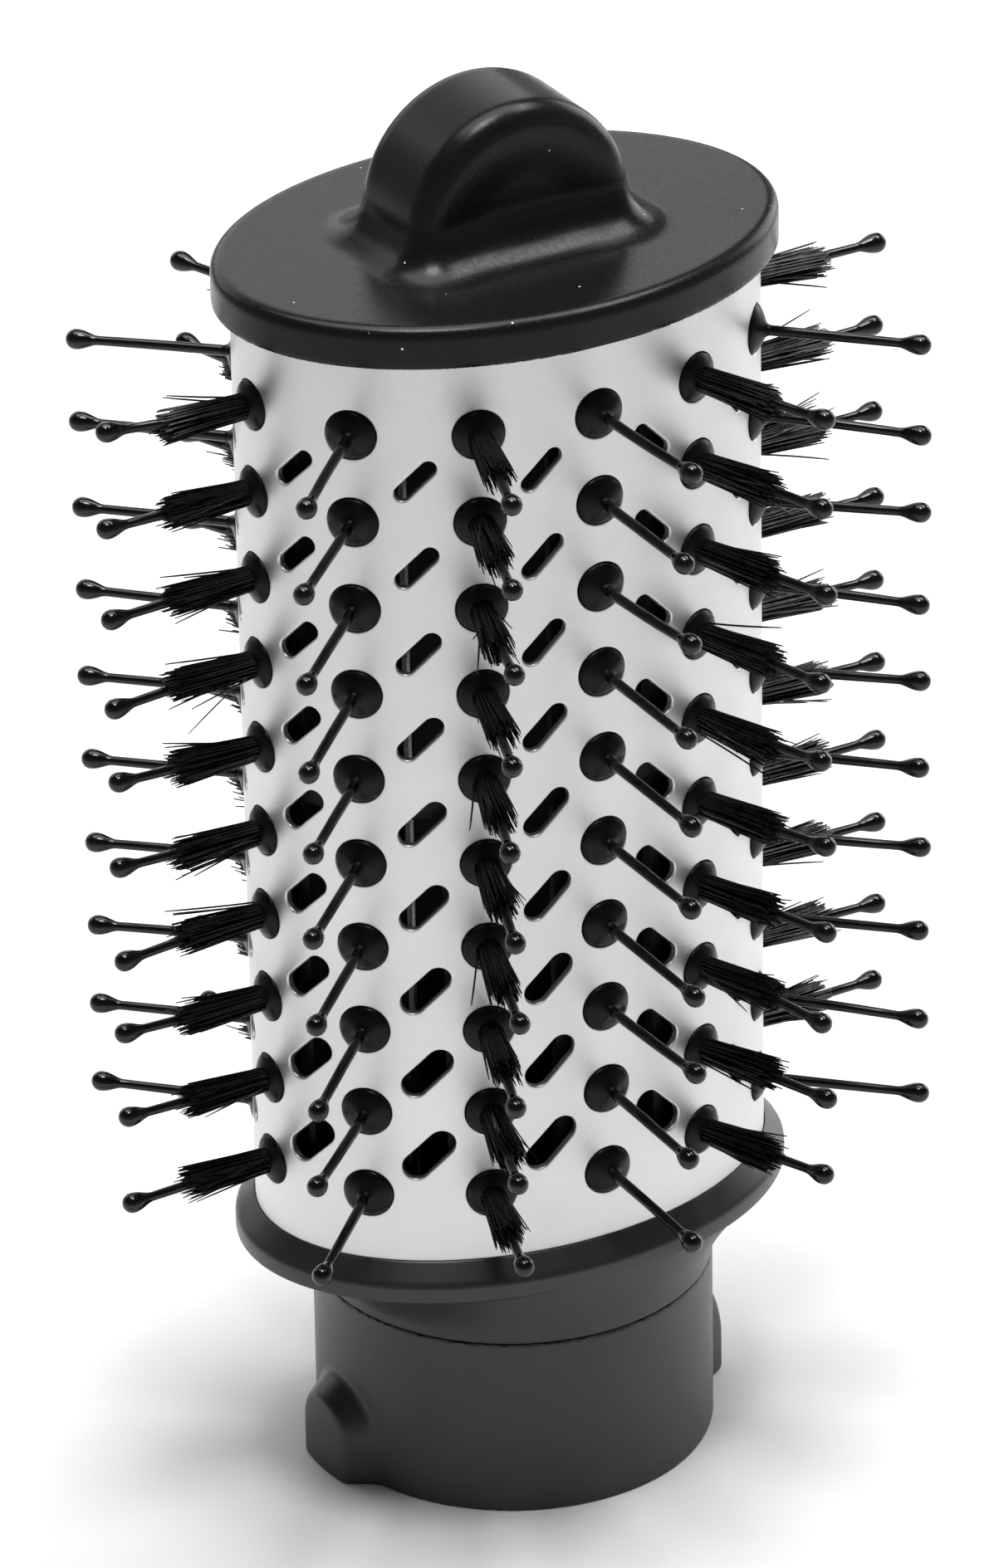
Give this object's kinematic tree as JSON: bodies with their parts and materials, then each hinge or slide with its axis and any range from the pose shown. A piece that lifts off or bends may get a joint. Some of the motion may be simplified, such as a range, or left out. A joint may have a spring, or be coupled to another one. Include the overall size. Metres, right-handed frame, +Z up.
{
  "type": "hot air brush head",
  "caption": "Detachable oval hot air brush head: perforated metal barrel with ball-tipped pins and tufts, cool tip with grip fin, and a twist lock collar.",
  "frame": {"origin": "centre of the lock collar's bottom rim, on the axis that the collar turns on", "axes": "+Z up the barrel's axis towards the cool tip, X along the long axis of the oval barrel, Y along its short axis"},
  "size_m": [0.1046, 0.0874, 0.1746],
  "materials": {
    "barrel_aluminium": "satin bare aluminium, fine sand-blasted grain",
    "bristle_black": "glossy black nylon",
    "cap_black": "satin black moulded plastic",
    "neck_grey": "matte dark grey moulded plastic",
    "collar_grey": "matte dark grey moulded plastic",
    "core_plastic": "heat-resistant black plastic",
    "shield_plastic": "pressed insulating board",
    "steel": "bright zinc-plated steel",
    "seal_rubber": "black silicone rubber"
  },
  "bodies": {
    "head": {"cool_tip_cap": "cap_black", "heat_shield": "shield_plastic", "tie_screw_left": "steel", "tie_screw_right": "steel", "barrel": "barrel_aluminium", "core_frame": "core_plastic", "tuft_strip_1": "bristle_black", "pin_strip_1": "bristle_black", "tuft_strip_2": "bristle_black", "pin_strip_2": "bristle_black", "tuft_strip_3": "bristle_black", "pin_strip_3": "bristle_black", "tuft_strip_4": "bristle_black", "pin_strip_4": "bristle_black", "tuft_strip_5": "bristle_black", "pin_strip_5": "bristle_black", "tuft_strip_6": "bristle_black", "pin_strip_6": "bristle_black", "base_neck": "neck_grey", "retaining_ring": "steel", "detent_spring": "steel", "seal_ring": "seal_rubber"},
    "collar": {"lock_collar": "collar_grey"}
  },
  "joints": [
    {"name": "collar_twist", "type": "hinge", "parent": "head", "child": "collar", "pos_m": [0, 0, 0.0115], "axis": [0, 0, 1], "range_deg": [0, 35]}
  ]
}
